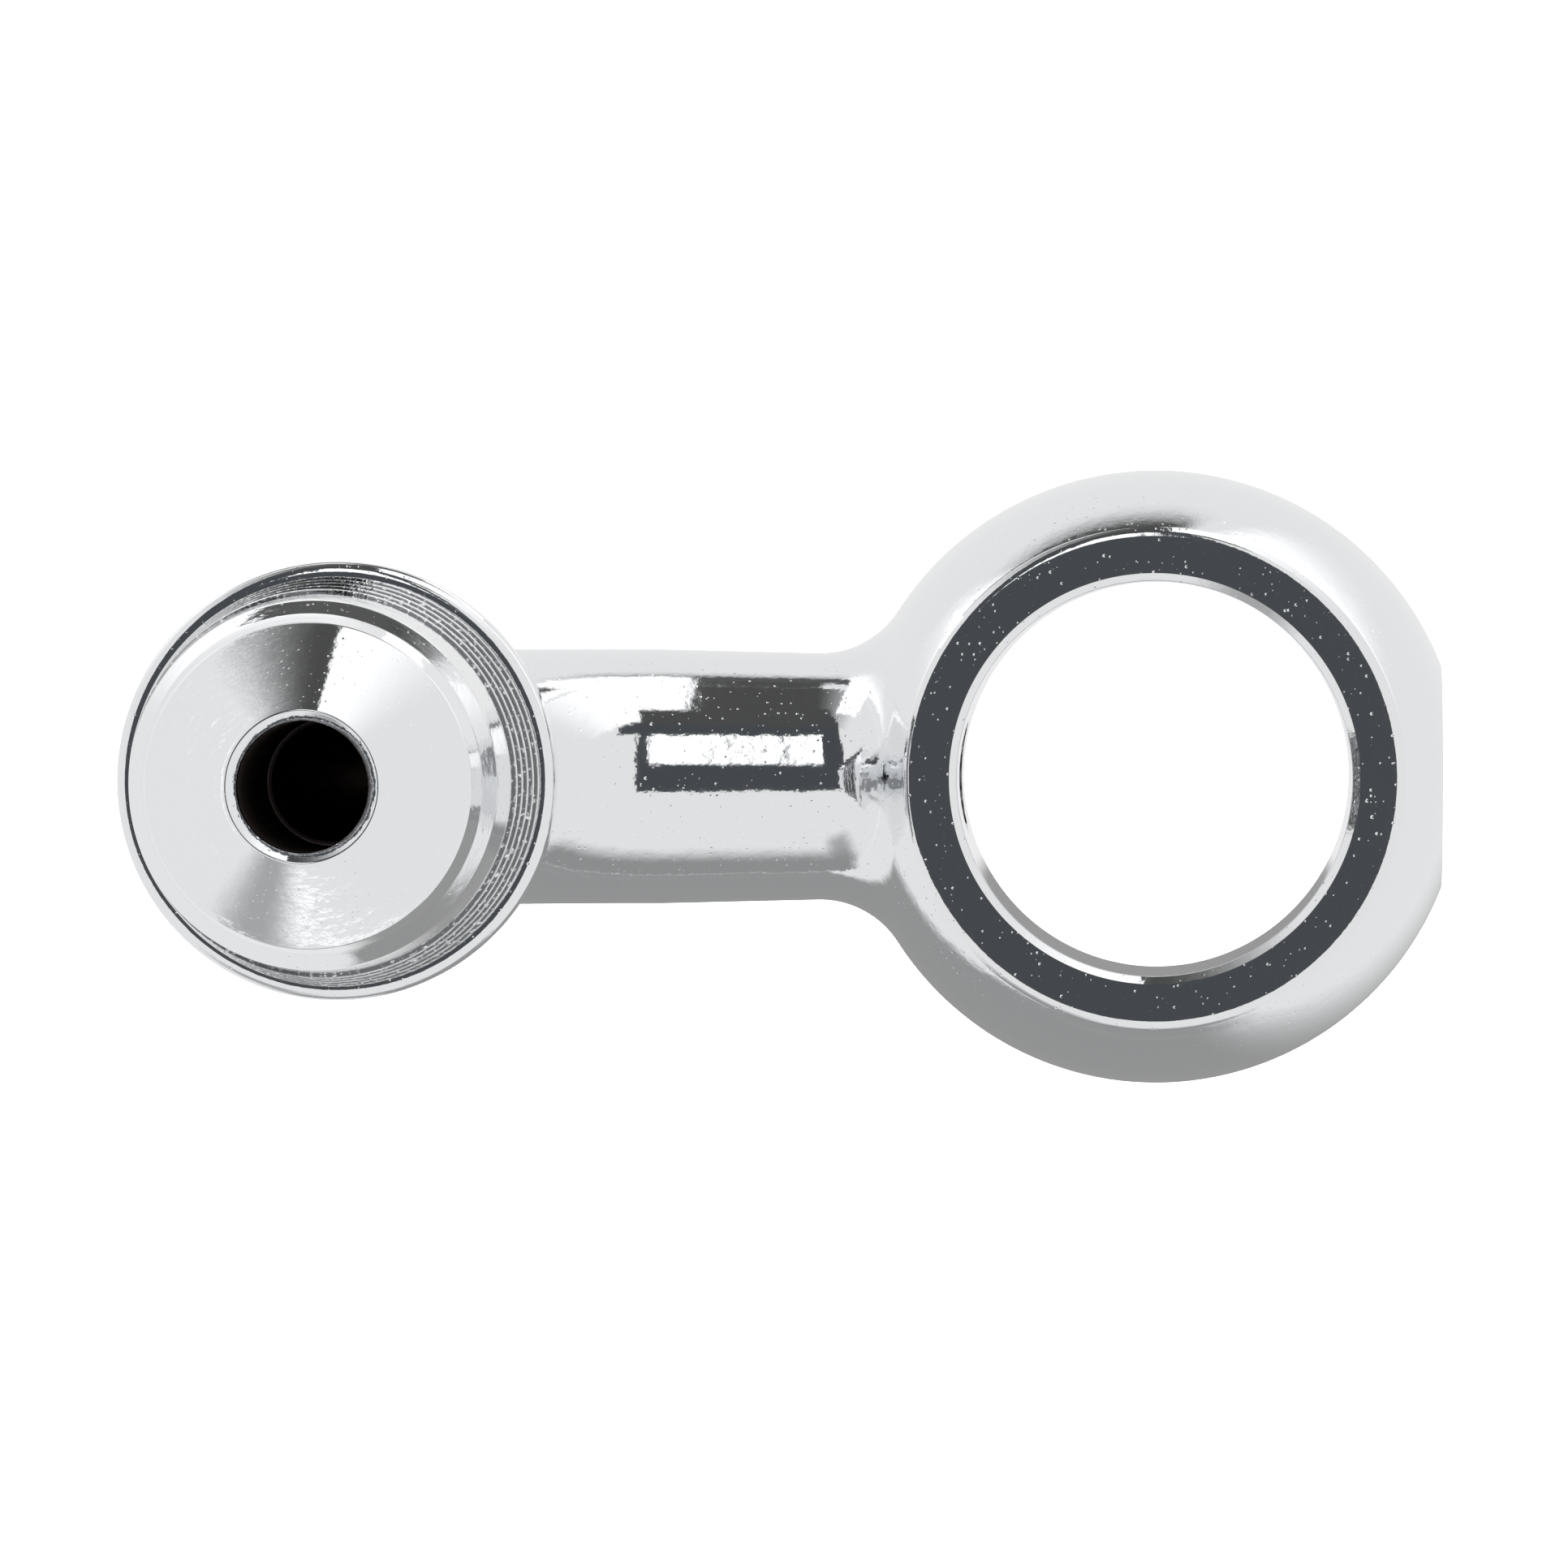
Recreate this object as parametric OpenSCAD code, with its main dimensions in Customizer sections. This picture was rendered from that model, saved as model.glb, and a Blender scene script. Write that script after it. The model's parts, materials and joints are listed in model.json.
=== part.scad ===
// 90 degree banjo fitting for a brake or hydraulic hose.
// A ball-shaped banjo head carries a short neck. The neck bends upward and is
// brazed into a collared, threaded end piece, whose drilled nose seals on a cone.
// All sizes are in millimetres. The origin is the centre of the banjo bore, half
// way through the head. +Z runs along that bore, the way the threaded nose
// points. The neck leaves the head towards -X.

/* [Banjo head] */
// Diameter of the ball that the head is turned to
head_dia = 15.875; // [15:0.125:17]
// Thickness of the head between its two sealing faces
head_thick = 9.525; // [8.5:0.125:10]
// Diameter of the bore for the banjo bolt
bore_dia = 10.1; // [8:0.1:10.6]
// Chamfer at each mouth of the bore
bore_chamfer = 0.2; // [0.05:0.05:0.3]
// Radius on the edge round each sealing face
face_round = 0.35; // [0.1:0.05:0.6]
// Distance from the bore's axis to the flat at the free end of the ball
end_flat = 7.4; // [7:0.05:7.8]

/* [Neck] */
// Diameter of the neck where it leaves the ball's fillet
neck_dia_head = 6.4; // [5.5:0.05:6.8]
// Diameter of the neck round its bend and in its socket
neck_dia_end = 6.6; // [5.5:0.05:6.8]
// Radius of the fillet between the ball and the neck
neck_fillet = 2.4; // [1.5:0.1:3]
// Radius of the bend, at the middle of the neck
bend_radius = 7.8; // [7:0.1:8]
// Diameter of the fluid passage along the neck
neck_passage_dia = 3.0; // [2:0.1:3.2]

/* [Collar] */
// Distance between the bore's axis and the threaded end's axis
end_offset = 20.6; // [19:0.05:24]
// Diameter of the collar
collar_dia = 11.1; // [10.6:0.05:12]
// Height of the collar's shoulder above the origin
shoulder_height = 9.65; // [9.5:0.05:10.5]
// Height of the collar
collar_height = 1.45; // [1:0.05:1.5]
// Radius on the upper edge of the collar
shoulder_round = 0.3; // [0.1:0.05:0.5]
// Chamfer round the collar's underside
collar_chamfer = 0.2; // [0.1:0.05:0.4]
// Depth of the socket that holds the neck
socket_depth = 3.0; // [1.5:0.1:3.5]

/* [Thread] */
// Outside diameter of the thread
thread_dia = 10.0; // [9.5:0.05:10.2]
// Distance from one thread to the next
thread_pitch = 1.0; // [0.9:0.05:1.25]
// Number of threads
thread_turns = 5; // [3:1:6]
// Plain groove between the shoulder and the first thread
thread_relief = 0.15; // [0.1:0.05:0.6]

/* [Nose] */
// Diameter of the plain land just above the thread
land_dia = 9.45; // [9.2:0.05:9.9]
// Diameter of the plain land at its top
land_top_dia = 9.1; // [8.8:0.05:9.2]
// Height of the plain land above the thread
land_height = 2.75; // [0.5:0.05:3]
// Diameter of the nose just above the land's bevel
nose_dia = 8.4; // [8.2:0.05:8.7]
// Height of the bevel between the land and the nose
land_bevel = 0.7; // [0.2:0.1:1]
// Height of the tapered nose between the land's bevel and the cone
nose_height = 1.1; // [0.2:0.1:1.5]
// Diameter of the cone at its base
cone_dia = 8.0; // [7.4:0.1:8.2]
// Angle between the cone's side and its axis
cone_half_angle = 45; // [30:1:60]
// Diameter of the fluid passage in the nose
passage_dia = 3.2; // [2.5:0.1:3.6]
// Width of the bevel at the passage's mouth
mouth_bevel = 0.26; // [0.1:0.02:0.4]

/* [Brazed joint] */
// Gap between the neck and its socket, filled with braze
braze_gap = 0.08; // [0.04:0.02:0.15]
// Size of the braze bead under the collar
braze_bead = 0.2; // [0.1:0.05:0.6]

/* [Hidden] */
$fn = 96;
clear = 1; // how far cutting shapes reach past what they cut

head_r = head_dia / 2;
half_thick = head_thick / 2;
bore_r = bore_dia / 2;
// The faces' rounded edge is tangent to the face and to the ball.
edge_centre_z = half_thick - face_round;
edge_centre_r = sqrt(pow(head_r - face_round, 2) - pow(edge_centre_z, 2));
edge_ball_z = edge_centre_z * head_r / (head_r - face_round);

// The fillet is tangent to the ball and to the neck.
neck_r = neck_dia_head / 2;
neck_end_r = neck_dia_end / 2;
neck_passage_r = neck_passage_dia / 2;
fillet_reach = sqrt(pow(head_r + neck_fillet, 2) - pow(neck_r + neck_fillet, 2));
fillet_ball_share = head_r / (head_r + neck_fillet);
fillet_ball_r = (neck_r + neck_fillet) * fillet_ball_share;
fillet_ball_x = fillet_reach * fillet_ball_share;
bend_start = end_offset - bend_radius;

collar_r = collar_dia / 2;
collar_foot = shoulder_height - collar_height;
socket_r = neck_end_r + braze_gap;
socket_floor = collar_foot + socket_depth;

thread_r = thread_dia / 2;
thread_depth = 0.61 * thread_pitch;
root_r = thread_r - thread_depth;
crest_width = thread_pitch / 8;
flank_height = thread_depth * tan(30);
ridge_height = crest_width + 2 * flank_height;
first_ridge = shoulder_height + thread_relief + ridge_height / 2;
thread_top = first_ridge + (thread_turns - 1) * thread_pitch + ridge_height / 2;
land_top = thread_top + land_height;
cone_base = land_top + land_bevel + nose_height;
cone_base_r = cone_dia / 2;
passage_r = passage_dia / 2;
mouth_r = passage_r + mouth_bevel;
cone_top = cone_base + (cone_base_r - mouth_r) / tan(cone_half_angle);

// A cylinder along -X, between two distances from the bore's axis
module along_neck(r, from, to) {
    translate([-from, 0, 0]) rotate([0, -90, 0]) cylinder(h = to - from, r = r);
}

// The quarter turn from the neck's level run up to the threaded end's axis
module bend(r) {
    translate([-bend_start, 0, bend_radius]) rotate([90, 0, 0]) rotate([0, 0, 180])
        rotate_extrude(angle = 90) translate([bend_radius, 0]) circle(r = r);
}

// A cylinder on the threaded end's axis, between two heights
module up_end(r, from, to) {
    translate([-end_offset, 0, from]) cylinder(h = to - from, r = r);
}

// The ball between its two faces, with a rounded edge on each face
module ball_blank() {
    intersection() {
        sphere(r = head_r);
        rotate_extrude() union() {
            translate([0, -half_thick]) square([edge_centre_r, head_thick]);
            translate([0, -edge_ball_z]) square([head_r + clear, 2 * edge_ball_z]);
            for (side = [0, 1]) mirror([0, side])
                translate([edge_centre_r, edge_centre_z]) circle(r = face_round);
        }
    }
}

// The neck's level run with its fillet, turned about the neck's own axis
module neck_blank() {
    rotate([0, -90, 0]) rotate_extrude() union() {
        polygon([
            [0, bore_r],
            [neck_r, bore_r],
            [neck_r, fillet_reach],
            [neck_end_r, bend_start],
            [0, bend_start]
        ]);
        difference() {
            translate([0, fillet_ball_x]) square([fillet_ball_r, fillet_reach - fillet_ball_x]);
            translate([neck_r + neck_fillet, fillet_reach]) circle(r = neck_fillet);
        }
    }
}

module bore_cut() {
    translate([0, 0, -half_thick - clear]) cylinder(h = head_thick + 2 * clear, r = bore_r);
    for (side = [0, 1]) mirror([0, 0, side])
        translate([0, 0, half_thick - bore_chamfer])
            cylinder(h = bore_chamfer + clear, r1 = bore_r, r2 = bore_r + bore_chamfer + clear);
}

module banjo_head() {
    color("silver") difference() {
        union() {
            ball_blank();
            neck_blank();
            bend(neck_end_r);
            up_end(neck_end_r, bend_radius, socket_floor);
        }
        bore_cut();
        along_neck(neck_passage_r, 0, bend_start);
        bend(neck_passage_r);
        up_end(neck_passage_r, bend_radius, socket_floor + clear);
        translate([end_flat, -head_r, -head_r]) cube(2 * head_r);
    }
}

function ridge(z) = [
    [root_r, z - ridge_height / 2],
    [thread_r, z - crest_width / 2],
    [thread_r, z + crest_width / 2],
    [root_r, z + ridge_height / 2]
];

// Half of the end piece's lengthwise section, from its collar up to the nose
module end_section() {
    polygon(concat(
        [
            [0, collar_foot],
            [collar_r - collar_chamfer, collar_foot],
            [collar_r, collar_foot + collar_chamfer],
            [collar_r, shoulder_height - shoulder_round],
            [collar_r - shoulder_round, shoulder_height],
            [root_r, shoulder_height]
        ],
        [for (turn = [0:thread_turns - 1]) each ridge(first_ridge + turn * thread_pitch)],
        [
            [land_dia / 2, thread_top],
            [land_top_dia / 2, land_top],
            [nose_dia / 2, land_top + land_bevel],
            [cone_base_r, cone_base],
            [mouth_r, cone_top],
            [0, cone_top]
        ]
    ));
    translate([collar_r - shoulder_round, shoulder_height - shoulder_round])
        circle(r = shoulder_round);
}

module threaded_end() {
    color("gainsboro") difference() {
        translate([-end_offset, 0, 0]) rotate_extrude() end_section();
        up_end(socket_r, collar_foot - clear, socket_floor);
        up_end(passage_r, socket_floor - clear, cone_top + clear);
        translate([-end_offset, 0, cone_top - mouth_bevel])
            cylinder(h = mouth_bevel + clear, r1 = passage_r, r2 = mouth_r + clear);
    }
}

// Braze fills the socket's gap and stands out as a bead under the collar
module braze_ring() {
    color("lightgray") translate([-end_offset, 0, 0]) rotate_extrude() polygon([
        [neck_end_r, collar_foot - braze_bead],
        [neck_end_r + braze_bead, collar_foot],
        [socket_r, collar_foot],
        [socket_r, socket_floor],
        [neck_end_r, socket_floor]
    ]);
}

banjo_head();
threaded_end();
braze_ring();
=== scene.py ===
"""Right-angle banjo fitting in chrome plate: the head's neck bends up into a collared, threaded end."""

import json
import math

import bmesh
import bpy
from mathutils import Matrix, Vector


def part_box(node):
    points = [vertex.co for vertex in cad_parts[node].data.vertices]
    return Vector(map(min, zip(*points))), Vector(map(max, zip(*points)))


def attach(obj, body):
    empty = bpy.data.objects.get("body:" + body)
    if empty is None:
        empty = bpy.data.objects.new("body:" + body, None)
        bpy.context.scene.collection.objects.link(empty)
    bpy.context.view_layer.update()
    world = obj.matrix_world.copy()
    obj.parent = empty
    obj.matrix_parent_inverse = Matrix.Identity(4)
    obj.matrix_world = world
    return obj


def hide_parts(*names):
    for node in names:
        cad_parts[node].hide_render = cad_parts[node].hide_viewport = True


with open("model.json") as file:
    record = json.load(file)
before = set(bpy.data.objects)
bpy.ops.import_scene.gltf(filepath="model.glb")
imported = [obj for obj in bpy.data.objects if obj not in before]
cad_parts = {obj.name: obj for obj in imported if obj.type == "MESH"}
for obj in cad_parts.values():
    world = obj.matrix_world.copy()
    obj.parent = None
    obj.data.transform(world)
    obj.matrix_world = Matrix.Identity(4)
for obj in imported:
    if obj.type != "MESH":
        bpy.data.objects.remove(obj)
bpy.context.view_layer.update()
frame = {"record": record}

MM = 0.001

# ---------------------------------------------------------------- sizes, from the frame

head_lo, head_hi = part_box("banjo_head")
end_lo, end_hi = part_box("threaded_end")
mounts = {m["name"]: m for m in frame["record"]["mounts"]}

HALF_THICK = -head_lo.z
HEAD_R = head_hi.y
END_FLAT = head_hi.x
SOCKET_FLOOR = head_hi.z
BORE_R = mounts["bolt_bore"]["dims"]["r_mm"] * MM
COLLAR_R = (end_hi.x - end_lo.x) / 2
END_X = (end_hi.x + end_lo.x) / 2
COLLAR_FOOT = end_lo.z
NOSE_Z = end_hi.z
FLOOR_Z = head_lo.z

# ---------------------------------------------------------------- sizes that part.scad also holds

EDGE_ROUND = 0.35 * MM
BORE_CHAMFER = 0.2 * MM
NECK_R = 3.20 * MM
NECK_END_R = 3.30 * MM
NECK_FILLET = 2.4 * MM
NECK_PASSAGE_R = 1.5 * MM
BEND_R = 7.8 * MM
SHOULDER_Z = 9.65 * MM
SHOULDER_ROUND = 0.3 * MM
COLLAR_CHAMFER = 0.2 * MM
PITCH = 1.0 * MM
THREAD_END_Z = 14.63 * MM
LAND_R = 4.725 * MM
LAND_TOP_R = 4.55 * MM
LAND_HEIGHT = 2.75 * MM
LAND_BEVEL = 0.7 * MM
NOSE_R = 4.20 * MM
NOSE_HEIGHT = 1.1 * MM
CONE_BASE_R = 4.0 * MM
MOUTH_BEVEL = 0.26 * MM
PASSAGE_R = 1.6 * MM
SOCKET_GAP = 0.08 * MM
BRAZE_BEAD = 0.2 * MM

BEND_START = -END_X - BEND_R
BEND_LENGTH = BEND_R * math.pi / 2
NECK_LENGTH = BEND_START + BEND_LENGTH + SOCKET_FLOOR - BEND_R
LAND_TOP = THREAD_END_Z + LAND_HEIGHT
NOSE_FOOT_Z = LAND_TOP + LAND_BEVEL
CONE_BASE_Z = NOSE_FOOT_Z + NOSE_HEIGHT
MOUTH_R = PASSAGE_R + MOUTH_BEVEL
SOCKET_R = NECK_END_R + SOCKET_GAP

# ---------------------------------------------------------------- sizes of finer detail

# The thread's crests lie a little inside its nominal size by the land, and outside it by the collar.
CREST_TOP_R = 4.80 * MM
CREST_FOOT_R = 5.20 * MM
CREST_TAPER = CREST_TOP_R - CREST_FOOT_R
CREST_DEPTH = 0.5 * MM
CREST_SHARE = 0.14  # flat crest, as a share of half the pitch
FLANK_SHARE = 0.72
FLANK_CURVE = 0.4  # how far each flank is bent from a straight line towards an S
THREAD_HEIGHT = THREAD_END_Z - SHOULDER_Z
THREAD_FOOT_R = CREST_FOOT_R - 0.1 * MM
THREAD_FOOT_Z = SHOULDER_Z + 0.02 * MM
THREAD_RUN_IN = 0.25 * MM  # how far below the land's edge the thread takes to reach its full form
THREAD_START = math.radians(10)  # where the groove leaves the land's edge, anticlockwise from +X

CHAMFER_DEPTH = 0.7 * BORE_CHAMFER  # less than its width, so that it slopes at 35 degrees to the face
FINE_EDGE = 0.05 * MM  # the radii to which turned corners are broken
MOUTH_EDGE = 0.06 * MM
CONE_EDGE = 0.12 * MM
LAND_EDGE = 0.35 * MM

SEGMENTS = 384
DRILL_SEGMENTS = 96
WELD = 0.0005 * MM
TURN = 2 * math.pi


# ---------------------------------------------------------------- mesh helpers

def arc(cx, cy, r, start, end, steps):
    """Points of an arc in a lengthwise section, from one angle to another in degrees, both included."""
    angles = [math.radians(start + (end - start) * i / steps) for i in range(steps + 1)]
    return [(cx + r * math.cos(a), cy + r * math.sin(a)) for a in angles]


def straight(start, end, steps):
    """Points between two corners of a section, without the corners."""
    return [
        (start[0] + (end[0] - start[0]) * t / steps, start[1] + (end[1] - start[1]) * t / steps)
        for t in range(1, steps)
    ]


def fillet_corner(before, corner, after, radius, steps=6):
    """The arc that rounds a section's corner."""
    corner = Vector(corner)
    back = (Vector(before) - corner).normalized()
    ahead = (Vector(after) - corner).normalized()
    half = back.angle(ahead) / 2
    reach = radius / math.tan(half)
    start, end = corner + back * reach, corner + ahead * reach
    centre = corner + (back + ahead).normalized() * (radius / math.sin(half))
    points = []
    for i in range(steps + 1):
        t = i / steps
        aim = (start - centre).lerp(end - centre, t).normalized()
        points.append(tuple(centre + aim * radius))
    return points


def add_ring(bm, r, h, segments):
    """One circle of points about Z."""
    return [
        bm.verts.new((r * math.cos(TURN * j / segments), r * math.sin(TURN * j / segments), h))
        for j in range(segments)
    ]


def bridge(bm, low, high):
    """A band of faces between two circles of points."""
    for j in range(len(low)):
        k = (j + 1) % len(low)
        bm.faces.new((low[j], low[k], high[k], high[j]))


def lathe(section, segments=SEGMENTS):
    """A closed solid turned about Z from (radius, height) points. The first and last lie on the axis."""
    bm = bmesh.new()
    first = bm.verts.new((0, 0, section[0][1]))
    last = bm.verts.new((0, 0, section[-1][1]))
    rings = [add_ring(bm, r, h, segments) for r, h in section[1:-1]]
    for low, high in zip(rings, rings[1:]):
        bridge(bm, low, high)
    for j in range(segments):
        k = (j + 1) % segments
        bm.faces.new((first, rings[0][k], rings[0][j]))
        bm.faces.new((last, rings[-1][j], rings[-1][k]))
    return bm


def to_object(bm, name, matrix=Matrix.Identity(4)):
    bmesh.ops.transform(bm, matrix=matrix, verts=bm.verts)
    bmesh.ops.recalc_face_normals(bm, faces=bm.faces)
    mesh = bpy.data.meshes.new(name)
    bm.to_mesh(mesh)
    bm.free()
    obj = bpy.data.objects.new(name, mesh)
    bpy.context.scene.collection.objects.link(obj)
    return obj


def carve(obj, cutter, operation):
    """Applies a boolean and throws the cutter away."""
    mod = obj.modifiers.new("carve", "BOOLEAN")
    mod.operation = operation
    mod.solver = "EXACT"
    mod.object = cutter
    graph = bpy.context.evaluated_depsgraph_get()
    mesh = bpy.data.meshes.new_from_object(obj.evaluated_get(graph))
    obj.modifiers.clear()
    old = obj.data
    obj.data = mesh
    bpy.data.meshes.remove(old)
    bpy.data.objects.remove(cutter)


def weld(bm):
    """Joins points that lie together and drops the edges and faces that have no size."""
    bmesh.ops.remove_doubles(bm, verts=bm.verts, dist=WELD)
    bmesh.ops.dissolve_degenerate(bm, edges=bm.edges, dist=WELD)


def smooth(obj, sharp_degrees=28):
    """Smooth shading with hard edges kept, so that mirror reflections run clean."""
    bm = bmesh.new()
    bm.from_mesh(obj.data)
    weld(bm)
    for face in bm.faces:
        face.smooth = True
    for edge in bm.edges:
        edge.smooth = len(edge.link_faces) == 2 and edge.calc_face_angle(0) < math.radians(sharp_degrees)
    bm.to_mesh(obj.data)
    bm.free()
    mod = obj.modifiers.new("weighted", "WEIGHTED_NORMAL")
    mod.keep_sharp = True


def follow_neck(bm):
    """Lays a solid turned about Z along the neck's line: level towards -X, round the bend, then up."""
    for v in bm.verts:
        rise, side, run = v.co
        turn = min(max(run - BEND_START, 0), BEND_LENGTH) / BEND_R
        level = min(run, BEND_START)
        climb = max(run - BEND_START - BEND_LENGTH, 0)
        inside = BEND_R - rise
        v.co = (-level - inside * math.sin(turn), side, BEND_R - inside * math.cos(turn) + climb)
    return bm


# ---------------------------------------------------------------- banjo head

def neck_run(start, r_start, r_end):
    """The neck's wall from one distance along its line to the bend, round the bend and up to its end."""
    level = straight((r_start, start), (r_end, BEND_START), 8) + [(r_end, BEND_START)]
    curve = [(r_end, BEND_START + BEND_LENGTH * t / 64) for t in range(1, 65)]
    return level + curve + [(r_end, NECK_LENGTH), (0, NECK_LENGTH)]


def head_blank_section():
    """Ball, fillet and neck as (radius, distance along the neck's line)."""
    reach = math.sqrt((HEAD_R + NECK_FILLET) ** 2 - (NECK_R + NECK_FILLET) ** 2)
    ball_end = math.degrees(math.atan2(reach, NECK_R + NECK_FILLET))
    end_r = math.sqrt(HEAD_R**2 - END_FLAT**2)
    flat_start = -math.degrees(math.acos(end_r / HEAD_R))
    room_for_edge = 0.6  # degrees of the ball that the broken edge takes up
    ball = arc(0, 0, HEAD_R, flat_start + room_for_edge, ball_end, 150)
    edge = fillet_corner((0, -END_FLAT), (end_r, -END_FLAT), ball[0], MOUTH_EDGE, 4)
    fillet = arc(NECK_R + NECK_FILLET, reach, NECK_FILLET, ball_end - 180, -180, 40)
    return [(0, -END_FLAT)] + edge + ball + fillet[1:] + neck_run(reach, NECK_R, NECK_END_R)


def facing_section():
    """What facing leaves of the ball: flat on both sides, with a rounded edge that runs into the ball."""
    centre_h = HALF_THICK - EDGE_ROUND
    centre_r = math.sqrt((HEAD_R - EDGE_ROUND) ** 2 - centre_h**2)
    ball_angle = math.degrees(math.atan2(centre_h, centre_r))
    edge = arc(centre_r, centre_h, EDGE_ROUND, 90, ball_angle, 12)
    tangent = Vector(edge[-1])
    along = Vector((tangent.y, -tangent.x)).normalized()
    outside = tangent + along * EDGE_ROUND
    inner_r = BORE_R / 2
    flats = [(inner_r + (centre_r - inner_r) * t / 12, HALF_THICK) for t in range(12)]
    clear_r, clear_h = 12 * MM, 30 * MM  # past here the cutter leaves the bend alone
    top = flats + edge + [tuple(outside), (clear_r, outside.y), (clear_r, clear_h), (2 * clear_h, clear_h)]
    bottom = [(r, -h) for r, h in reversed(top)]
    return [(0, HALF_THICK)] + top + bottom + [(0, -HALF_THICK)]


def bore_section():
    """The tool path of the bore: plain, with a shallow chamfer at each mouth."""
    over = 1.0 * MM
    wide = BORE_R + BORE_CHAMFER
    mouth = [(wide + over, HALF_THICK + over), (wide, HALF_THICK)]
    lip = (BORE_R, HALF_THICK - CHAMFER_DEPTH)
    mouth += fillet_corner((wide, HALF_THICK), lip, (BORE_R, 0), FINE_EDGE, 5)
    wall = [(BORE_R, (HALF_THICK - 2 * BORE_CHAMFER) * (1 - t / 10)) for t in range(1, 20)]
    back = [(r, -h) for r, h in reversed(mouth)]
    return [(0, HALF_THICK + over)] + mouth + wall + back + [(0, -HALF_THICK - over)]


def drill_section():
    """The neck's passage, from the middle of the bore to just past the neck's end."""
    past = NECK_LENGTH + MM
    wall = neck_run(0, NECK_PASSAGE_R, NECK_PASSAGE_R)[:-2]
    return [(0, 0), (NECK_PASSAGE_R, 0)] + wall + [(NECK_PASSAGE_R, past), (0, past)]


def make_head():
    head = to_object(follow_neck(lathe(head_blank_section())), "banjo_head_plated")
    carve(head, to_object(lathe(facing_section()), "facing"), "INTERSECT")
    carve(head, to_object(lathe(bore_section()), "bore"), "DIFFERENCE")
    carve(head, to_object(follow_neck(lathe(drill_section(), DRILL_SEGMENTS)), "drill"), "DIFFERENCE")
    smooth(head)
    return head


# ---------------------------------------------------------------- threaded end

def crest_radius(z):
    return CREST_FOOT_R + CREST_TAPER * (z - SHOULDER_Z) / THREAD_HEIGHT


def thread_radius(phase, z):
    """A rolled thread's section: full at phase 0.5, with a rounded root at phase 0."""
    off_crest = abs(phase - 0.5) * 2
    fall = min(max((off_crest - CREST_SHARE) / FLANK_SHARE, 0), 1)
    soft = fall * fall * (3 - 2 * fall)
    return crest_radius(z) - CREST_DEPTH * ((1 - FLANK_CURVE) * fall + FLANK_CURVE * soft)


def rolled_radius(phase, z, low, high):
    """The rolled thread, which starts at the land's edge and runs out into the shoulder."""
    into = min(max((high - z) / THREAD_RUN_IN, 0), 1)
    r = LAND_R + (thread_radius(phase, z) - LAND_R) * into
    return min(r, THREAD_FOOT_R + (z - low))


def thread_grid(bm, low, high, start_angle, segments, rows_per_pitch=28):
    """The helical thread between two plain rings. Rows follow the helix, so each crest is one clean line."""
    turns = (high - low) / PITCH
    count = int(math.ceil((turns + 1) * rows_per_pitch)) + 1
    rows = []
    for i in range(count + 1):
        base = low - PITCH + i * PITCH / rows_per_pitch
        row = []
        for j in range(segments + 1):
            angle = TURN * j / segments
            held = min(max(base + PITCH * j / segments, low), high)
            phase = ((base - high) / PITCH + start_angle / TURN) % 1.0
            r = rolled_radius(phase, held, low, high)
            row.append(bm.verts.new((r * math.cos(angle), r * math.sin(angle), held)))
        rows.append(row)
    for low_row, high_row in zip(rows, rows[1:]):
        for j in range(segments):
            quad = (low_row[j], low_row[j + 1], high_row[j + 1], high_row[j])
            heights = {round(v.co.z / MM, 6) for v in quad}
            if len(heights) > 1:  # past either end of the thread the rows lie on one another
                bm.faces.new(quad)


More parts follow.
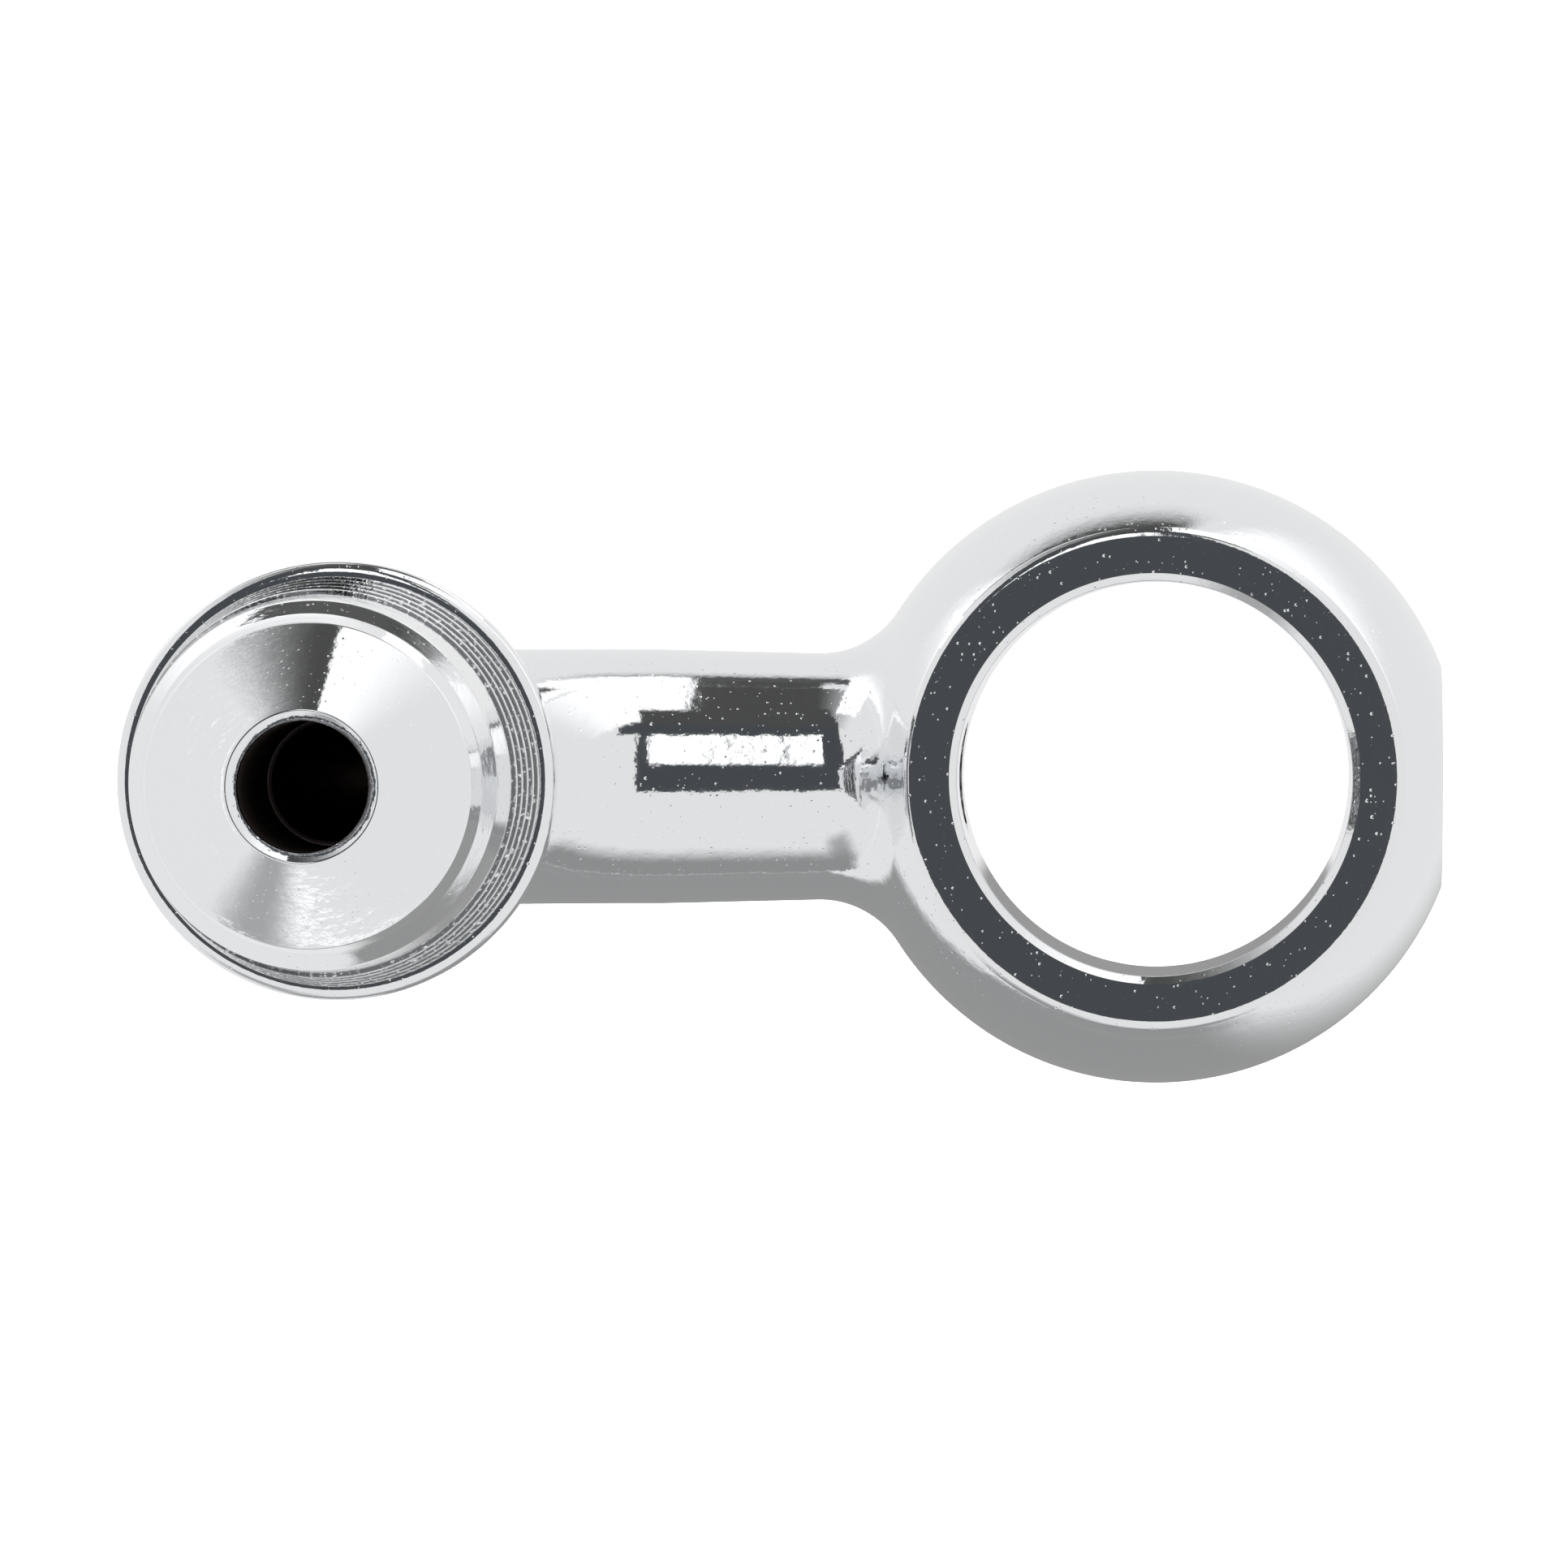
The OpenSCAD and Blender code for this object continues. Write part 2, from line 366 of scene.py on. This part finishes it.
def end_mesh(segments):
    """Collar, thread and nose as one closed skin, with the neck's socket and the passage inside."""
    socket_top, socket_foot = (SOCKET_R, SOCKET_FLOOR), (SOCKET_R, COLLAR_FOOT)
    foot_in = (COLLAR_R - COLLAR_CHAMFER, COLLAR_FOOT)
    foot_out = (COLLAR_R, COLLAR_FOOT + COLLAR_CHAMFER)
    wall_top = SHOULDER_Z - SHOULDER_ROUND
    lower = [socket_top] + straight(socket_top, socket_foot, 6) + [socket_foot]
    lower += fillet_corner(socket_foot, foot_in, foot_out, FINE_EDGE)
    lower += fillet_corner(foot_in, foot_out, (COLLAR_R, wall_top), FINE_EDGE)
    lower += straight(foot_out, (COLLAR_R, wall_top), 8)[1:]
    lower += arc(COLLAR_R - SHOULDER_ROUND, wall_top, SHOULDER_ROUND, 0, 90, 14)
    lower += [(THREAD_FOOT_R, SHOULDER_Z), (THREAD_FOOT_R, THREAD_FOOT_Z)]

    land_foot, land_top = (LAND_R, THREAD_END_Z), (LAND_TOP_R, LAND_TOP)
    nose_foot, cone_base = (NOSE_R, NOSE_FOOT_Z), (CONE_BASE_R, CONE_BASE_Z)
    mouth_top, mouth_end = (MOUTH_R, NOSE_Z), (PASSAGE_R, NOSE_Z - MOUTH_BEVEL)
    passage_foot = (PASSAGE_R, SOCKET_FLOOR)
    upper = [land_foot] + straight(land_foot, land_top, 12)[:-1]
    upper += fillet_corner(land_foot, land_top, nose_foot, LAND_EDGE, 8)
    upper += fillet_corner(land_top, nose_foot, cone_base, LAND_EDGE, 8)
    upper += fillet_corner(nose_foot, cone_base, mouth_top, CONE_EDGE, 8)
    upper += straight(cone_base, mouth_top, 16)[1:]
    upper += fillet_corner(cone_base, mouth_top, mouth_end, MOUTH_EDGE)
    upper += fillet_corner(mouth_top, mouth_end, passage_foot, MOUTH_EDGE)
    upper += straight(mouth_end, passage_foot, 20)[1:] + [passage_foot]

    bm = bmesh.new()
    low_rings = [add_ring(bm, r, h, segments) for r, h in lower]
    high_rings = [add_ring(bm, r, h, segments) for r, h in upper]
    for rings in (low_rings, high_rings, (high_rings[-1], low_rings[0])):
        for a, b in zip(rings, rings[1:]):
            bridge(bm, a, b)
    thread_grid(bm, THREAD_FOOT_Z, THREAD_END_Z, THREAD_START, segments)
    weld(bm)
    return bm


def make_end():
    end = to_object(end_mesh(SEGMENTS), "threaded_end_plated", Matrix.Translation((END_X, 0, 0)))
    smooth(end)
    return end


# ---------------------------------------------------------------- braze

def make_braze():
    """A concave bead of slightly uneven width under the collar, with its root filling the socket's gap."""
    segments, steps = 192, 8
    bm = bmesh.new()
    loops = []
    for j in range(segments):
        angle = TURN * j / segments
        size = BRAZE_BEAD * (0.85 + 0.10 * math.sin(3 * angle + 0.7) + 0.05 * math.sin(7 * angle))
        on_neck = Vector((NECK_END_R, COLLAR_FOOT - size))
        corner = Vector((NECK_END_R, COLLAR_FOOT))
        on_foot = Vector((NECK_END_R + size, COLLAR_FOOT))
        pull = corner.lerp((on_neck + on_foot) / 2, 0.25)
        loop = []
        for i in range(steps + 1):
            t = i / steps
            loop.append(on_neck * (1 - t) ** 2 + pull * 2 * t * (1 - t) + on_foot * t * t)
        loop += [Vector((SOCKET_R, COLLAR_FOOT)), Vector((SOCKET_R, SOCKET_FLOOR))]
        loop += [Vector((NECK_END_R, SOCKET_FLOOR))]
        loops.append([bm.verts.new((r * math.cos(angle), r * math.sin(angle), h)) for r, h in loop])
    for a, b in zip(loops, loops[1:] + loops[:1]):
        for i in range(len(a)):
            k = (i + 1) % len(a)
            bm.faces.new((a[i], b[i], b[k], a[k]))
    braze = to_object(bm, "braze_bead_plated", Matrix.Translation((END_X, 0, 0)))
    smooth(braze)
    return braze


# ---------------------------------------------------------------- materials

# Scales are in noise cells per metre, and heights in bump depths.
BUMP_DEPTH = 0.007 * MM
MARK_SCALE, MARK_HEIGHT = 9000.0, 0.10
WAVE_SCALE, WAVE_HEIGHT = 420.0, 1.6
RIPPLE_SCALE, RIPPLE_HEIGHT = 2600.0, 0.85
LUMP_SCALE, LUMP_HEIGHT = 8000.0, 2.0
PIT_SCALE, PIT_LEAST, PIT_RANGE = 7200.0, 0.02, 0.42
PIT_RARITY = 3.0  # a higher power leaves fewer large pits
MARK_FADE = 0.2 * MM
THREAD_FADE = 0.1 * MM
GROOVE_FADE = 0.045 * MM
BARE_FADE = 0.5 * MM

CHROME = (0.87, 0.878, 0.89, 1)
# painted shade: the dark grey that the thread's grooves are darkened towards
GROOVE_SHADE_PLATE = (0.16, 0.165, 0.175, 1)
BARE_STEEL = (0.16, 0.13, 0.12, 1)
PLATE_ROUGH, RIPPLE_ROUGH, BARE_ROUGH = 0.035, 0.05, 0.45


class Nodes:
    """A short way to write a node material."""

    def __init__(self, name):
        self.material = bpy.data.materials.new(name)
        self.material.use_nodes = True
        self.tree = self.material.node_tree
        self.shader = self.tree.nodes["Principled BSDF"]

    def add(self, kind, inputs=None, **settings):
        node = self.tree.nodes.new(kind)
        for key, value in settings.items():
            setattr(node, key, value)
        for key, value in (inputs or {}).items():
            self.put(node.inputs[key], value)
        return node

    def put(self, socket, value):
        if isinstance(value, bpy.types.NodeSocket):
            self.tree.links.new(value, socket)
        else:
            socket.default_value = value

    def math(self, operation, *values, clamp=False):
        node = self.add("ShaderNodeMath", operation=operation, use_clamp=clamp)
        for socket, value in zip(node.inputs, values):
            self.put(socket, value)
        return node.outputs[0]


def noise(n, place, scale, detail):
    return n.add("ShaderNodeTexNoise", {"Vector": place, "Scale": scale, "Detail": detail}).outputs[0]


def diagonal(n, first, second):
    """The length that two distances at right angles span."""
    return n.math("SQRT", n.math("ADD", n.math("POWER", first, 2), n.math("POWER", second, 2)))


def blend(n, share, colour, other):
    """One colour, changed into another by a share from 0 to 1."""
    mix = n.add("ShaderNodeMix", {"Factor": share, "A": colour, "B": other}, data_type="RGBA")
    return mix.outputs["Result"]


def ramp(n, value, low, high):
    """0 at one level and 1 at another, with a smooth change between."""
    node = n.add("ShaderNodeMapRange", interpolation_type="SMOOTHSTEP")
    for key, given in (("Value", value), ("From Min", low), ("From Max", high)):
        n.put(node.inputs[key], given)
    return node.outputs[0]


def along_passage(n, place):
    """Distance from the line that the neck's own passage follows, out from the bore and round the bend."""
    parts = n.add("ShaderNodeSeparateXYZ", {0: place}).outputs
    across = n.math("MINIMUM", n.math("ADD", parts["X"], BEND_START), 0.0)
    under = n.math("MINIMUM", n.math("SUBTRACT", parts["Z"], BEND_R), 0.0)
    off_line = n.math("SUBTRACT", diagonal(n, across, under), BEND_R)
    return diagonal(n, off_line, parts["Y"])


def thread_lumps_and_groove_shade(n, place, radius, up, low, high):
    """Lumps over the thread between two heights, and painted shade laid in its grooves, patchy with the
    lumps.
    """
    lumps = noise(n, place, LUMP_SCALE, 2.0)
    above = ramp(n, up, low + 0.02 * MM, low + THREAD_FADE)
    below = ramp(n, up, high, high - THREAD_FADE)
    inside = n.math("MULTIPLY", above, below)
    slope = CREST_TAPER / THREAD_HEIGHT
    crest = n.math("MULTIPLY_ADD", up, slope, CREST_FOOT_R - slope * SHOULDER_Z)
    below_crest = n.math("SUBTRACT", crest, radius)
    groove = n.math("MULTIPLY", inside, ramp(n, below_crest, 0.0, GROOVE_FADE))
    # painted shade: below the crest line the grooves darken towards a dark grey, patchy with the lumps
    painted_groove_shade = n.math("MULTIPLY", groove, ramp(n, lumps, 0.74, 0.55))
    return n.math("MULTIPLY", lumps, inside), painted_groove_shade


def chrome(name, axis_point, pit_depth, marks_within=None, bare_below=None, bare_neck=False, thread=None):
    """Bright chrome plate over turned steel, with turning marks about Z, faint waves and small pits.

    The marks can stop at one radius. Over the thread the plate is lumpy, and painted shade darkens the
    grooves. It can be missing inside the neck's passage, or inside the nose's below one height."""
    n = Nodes(name)
    place = n.add("ShaderNodeTexCoord").outputs["Object"]
    offset = n.add("ShaderNodeVectorMath", {0: place, 1: axis_point}, operation="SUBTRACT").outputs[0]
    parts = n.add("ShaderNodeSeparateXYZ", {0: offset}).outputs
    radius = diagonal(n, parts["X"], parts["Y"])
    line = n.add("ShaderNodeCombineXYZ", {0: radius, 1: parts["Z"]}).outputs[0]
    marks = noise(n, line, MARK_SCALE, 3.0)
    waves = noise(n, place, WAVE_SCALE, 2.0)
    ripple = noise(n, place, RIPPLE_SCALE, 3.0)
    cells = n.add("ShaderNodeTexVoronoi", {"Vector": place, "Scale": PIT_SCALE})
    large = n.math("POWER", cells.outputs["Color"], PIT_RARITY)
    pit_size = n.math("MULTIPLY_ADD", large, PIT_RANGE, PIT_LEAST)
    pits = n.math("SUBTRACT", 1.0, n.math("DIVIDE", cells.outputs["Distance"], pit_size), clamp=True)
    if marks_within:
        marks = n.math("MULTIPLY", marks, ramp(n, radius, marks_within, marks_within - MARK_FADE))
    height = n.math("MULTIPLY", marks, MARK_HEIGHT)
    height = n.math("MULTIPLY_ADD", waves, WAVE_HEIGHT, height)
    height = n.math("MULTIPLY_ADD", ripple, RIPPLE_HEIGHT, height)
    height = n.math("MULTIPLY_ADD", pits, -pit_depth, height)
    colour = CHROME
    rough = n.math("MULTIPLY_ADD", ripple, RIPPLE_ROUGH, PLATE_ROUGH)
    if thread:
        lumps, painted_groove_shade = thread_lumps_and_groove_shade(n, place, radius, parts["Z"], *thread)
        height = n.math("MULTIPLY_ADD", lumps, LUMP_HEIGHT, height)
        # painted shade in the thread's grooves
        colour = blend(n, painted_groove_shade, colour, GROOVE_SHADE_PLATE)
    if bare_below:
        deep = ramp(n, parts["Z"], bare_below, bare_below - BARE_FADE)
        inner = ramp(n, radius, PASSAGE_R + 0.15 * MM, PASSAGE_R + 0.05 * MM)
    if bare_neck:
        deep = ramp(n, parts["X"], -BORE_R, -BORE_R - BARE_FADE)
        inner = ramp(n, along_passage(n, place), NECK_PASSAGE_R + 0.15 * MM, NECK_PASSAGE_R + 0.05 * MM)
    if bare_below or bare_neck:
        bare = n.math("MULTIPLY", deep, inner)
        colour = blend(n, bare, colour, BARE_STEEL)
        rough = n.math("MULTIPLY_ADD", bare, BARE_ROUGH, rough)
    bump = n.add("ShaderNodeBump", {"Height": height, "Strength": 1.0, "Distance": BUMP_DEPTH})
    n.put(n.shader.inputs["Normal"], bump.outputs[0])
    n.put(n.shader.inputs["Roughness"], rough)
    n.put(n.shader.inputs["Base Color"], colour)
    n.shader.inputs["Metallic"].default_value = 1.0
    return n.material


# ---------------------------------------------------------------- stage

def plain(name, level):
    n = Nodes(name)
    n.shader.inputs["Base Color"].default_value = (level, level, level, 1)
    n.shader.inputs["Roughness"].default_value = 1.0
    n.shader.inputs["Specular IOR Level"].default_value = 0.0
    return n.material


def glow(name, colour, soft):
    """A card's even glow. soft holds the share of the card over which it fades in from each of its
    four edges: left, right, lower and upper."""
    n = Nodes(name)
    n.tree.nodes.remove(n.shader)
    place = n.add("ShaderNodeTexCoord").outputs["Object"]
    parts = n.add("ShaderNodeSeparateXYZ", {0: place})
    solid = 1.0
    for axis, side, share in (("X", -1, soft[0]), ("X", 1, soft[1]), ("Y", -1, soft[2]), ("Y", 1, soft[3])):
        from_edge = n.math("SUBTRACT", 0.5, n.math("MULTIPLY", parts.outputs[axis], side))
        solid = n.math("MULTIPLY", solid, ramp(n, from_edge, 0.0, max(share, 0.001)))
    light = n.add("ShaderNodeEmission", {"Color": (*colour, 1)})
    clear = n.add("ShaderNodeBsdfTransparent")
    mix = n.add("ShaderNodeMixShader", {0: solid, 1: clear.outputs[0], 2: light.outputs[0]})
    n.put(n.tree.nodes["Material Output"].inputs["Surface"], mix.outputs[0])
    return n.material


EVEN = (0.02, 0.02, 0.02, 0.02)
SLATE = (0.92, 1.0, 1.1)
WHITE = (1, 1, 1)


def card(name, centre, size, facing, level, soft=EVEN, tint=WHITE):
    """A flat card in millimetres, seen only in reflections, that glows at one grey level.

    It faces a point, or lies level with its own X and Y along the world's when facing is None."""
    bm = bmesh.new()
    bmesh.ops.create_grid(bm, x_segments=1, y_segments=1, size=0.5)
    obj = to_object(bm, name)
    obj.scale = (size[0] * MM, size[1] * MM, 1)
    obj.location = Vector(centre) * MM
    if facing:
        obj.rotation_mode = "QUATERNION"
        obj.rotation_quaternion = (Vector(facing) - Vector(centre)).to_track_quat("Z", "Y")
    obj.data.materials.append(glow(name, [level * t for t in tint], soft))
    obj.visible_camera = False
    obj.visible_diffuse = False
    obj.visible_shadow = False


def level_card(name, x, y, z, level, soft=EVEN, tint=WHITE):
    """A card lying flat at one height, between two x and two y values in millimetres."""
    centre = ((x[0] + x[1]) / 2, (y[0] + y[1]) / 2, z)
    card(name, centre, (x[1] - x[0], y[1] - y[0]), None, level, soft, tint)


def make_stage():
    bm = bmesh.new()
    bmesh.ops.create_grid(bm, x_segments=1, y_segments=1, size=1.5)
    floor = to_object(bm, "floor", Matrix.Translation((0, 0, FLOOR_Z)))
    floor.data.materials.append(plain("floor_paper", 0.92))
    world = bpy.data.worlds.new("studio")
    world.use_nodes = True
    background = world.node_tree.nodes["Background"]
    background.inputs["Color"].default_value = (1, 1, 1, 1)
    background.inputs["Strength"].default_value = 0.85
    bpy.context.scene.world = world

    key = bpy.data.lights.new("overhead", "AREA")
    key.shape, key.size, key.energy = "DISK", 0.6, 16.0
    lamp = bpy.data.objects.new("overhead", key)
    lamp.location = (0, 0, 0.7)
    lamp.visible_glossy = False
    bpy.context.scene.collection.objects.link(lamp)

    # The mats lie just above the floor, each at its own height wherever two overlap.
    floor_mm = FLOOR_Z / MM
    level_card("grey_mat", (-700, 700), (-700, 700), floor_mm + 0.10, 0.86)
    # The front and neck mats are darker: painted shadow of the object on the floor beside it, seen only in
    # reflections.
    level_card("front_mat_painted_shadow", (-20, 13), (-33, -2), floor_mm + 0.15, 0.32, (0.12, 0.3, 0.3, 0.02))
    level_card("neck_mat_painted_shadow", (-17, 13), (-39.5, -22), floor_mm + 0.17, 0.32, (0.1, 0.3, 0.05, 0.3))
    level_card("right_mat", (7, 90), (10, 120), floor_mm + 0.15, 1.25, (0.04, 0.5, 0.15, 0.3))
    level_card("left_mat", (-75, -16), (9, 50), floor_mm + 0.16, 1.25, (0.4, 0.08, 0.4, 0.3))
    level_card("back_mat", (-27, 6), (18, 320), floor_mm + 0.20, 0.08, (0.5, 0.1, 0.05, 0.02))
    level_card("nose_mat", (-46, -5), (28, 48), floor_mm + 0.25, 0.10, (0.15, 0.1, 0.05, 0.2))
    level_card("camera_shade", (-230, 42), (-72, 520), 300, 0.072, (0.02, 0.01, 0.01, 0.01), SLATE)
    level_card("back_ceiling", (-260, 120), (240, 700), 301, 0.075, (0.3, 0.02, 0.04, 0.02), SLATE)
    level_card("window", (-60, 6), (50, 236), 290, 1.35, (0.03, 0.2, 0.10, 0.06))
    card("back_wall", (-162, 330, 150), (395, 320), (-162, 0, 150), 0.075, (0.9, 0.03, 0.01, 0.05))
    card("back_strip", (-14.3, 10, 3.6), (5.0, 7.4), (-14.3, 0, 3.6), 1.35, (0.1, 0.08, 0.1, 0.1))
    card("side_light", (100, 202, 80), (205, 260), (-20, 0, 80), 1.2, (0.03, 0.75, 0.1, 0.1))
    card("front_grey", (-130, -240, 90), (200, 200), (-20, 0, 90), 0.42, (0.45, 0.45, 0.01, 0.4))
    card("front_wall", (-10, -39, 7), (60, 23), (-10, 0, 7), 0.30, (0.2, 0.2, 0.01, 0.6))


# ---------------------------------------------------------------- camera

def make_camera():
    """Nearly straight down the bore's axis, from a little to the ball's side of the object's middle."""
    place = Vector((1.5, 4.0, 320.0)) * MM
    aim = Vector((-9.63, -0.20, 0.0)) * MM
    data = bpy.data.cameras.new("camera")
    data.sensor_width = 36.0
    data.lens = 283.4
    data.clip_start, data.clip_end = 0.01, 10
    camera = bpy.data.objects.new("camera", data)
    bpy.context.scene.collection.objects.link(camera)
    camera.location = place
    camera.rotation_mode = "QUATERNION"
    back = (place - aim).normalized()
    right = Vector((0, 1, 0)).cross(back).normalized()
    up = back.cross(right)
    camera.rotation_quaternion = Matrix((right, up, back)).transposed().to_quaternion()
    bpy.context.scene.camera = camera


# ---------------------------------------------------------------- assembly

make_stage()
make_camera()

head = make_head()
end = make_end()
braze = make_braze()

AXIS = (END_X, 0, 0)
THREAD_SPAN = (SHOULDER_Z, THREAD_END_Z)
HEAD_CHROME = chrome("chrome_head", (0, 0, 0), 1.1, marks_within=7.2 * MM, bare_neck=True)
END_CHROME = chrome("chrome_end", AXIS, 0.7, bare_below=NOSE_Z - MOUTH_BEVEL, thread=THREAD_SPAN)
BRAZE_CHROME = chrome("chrome_braze", AXIS, 2.2)
PIECES = (
    (head, "banjo_head", "plated_head", HEAD_CHROME),
    (end, "threaded_end", "plated_end", END_CHROME),
    (braze, "braze_ring", "plated_braze", BRAZE_CHROME),
)
for piece, node, slot, material in PIECES:
    piece.data.materials.clear()
    piece.data.materials.append(material)
    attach(piece, "root")
    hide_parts(node)

bpy.context.scene.view_settings.view_transform = "Standard"
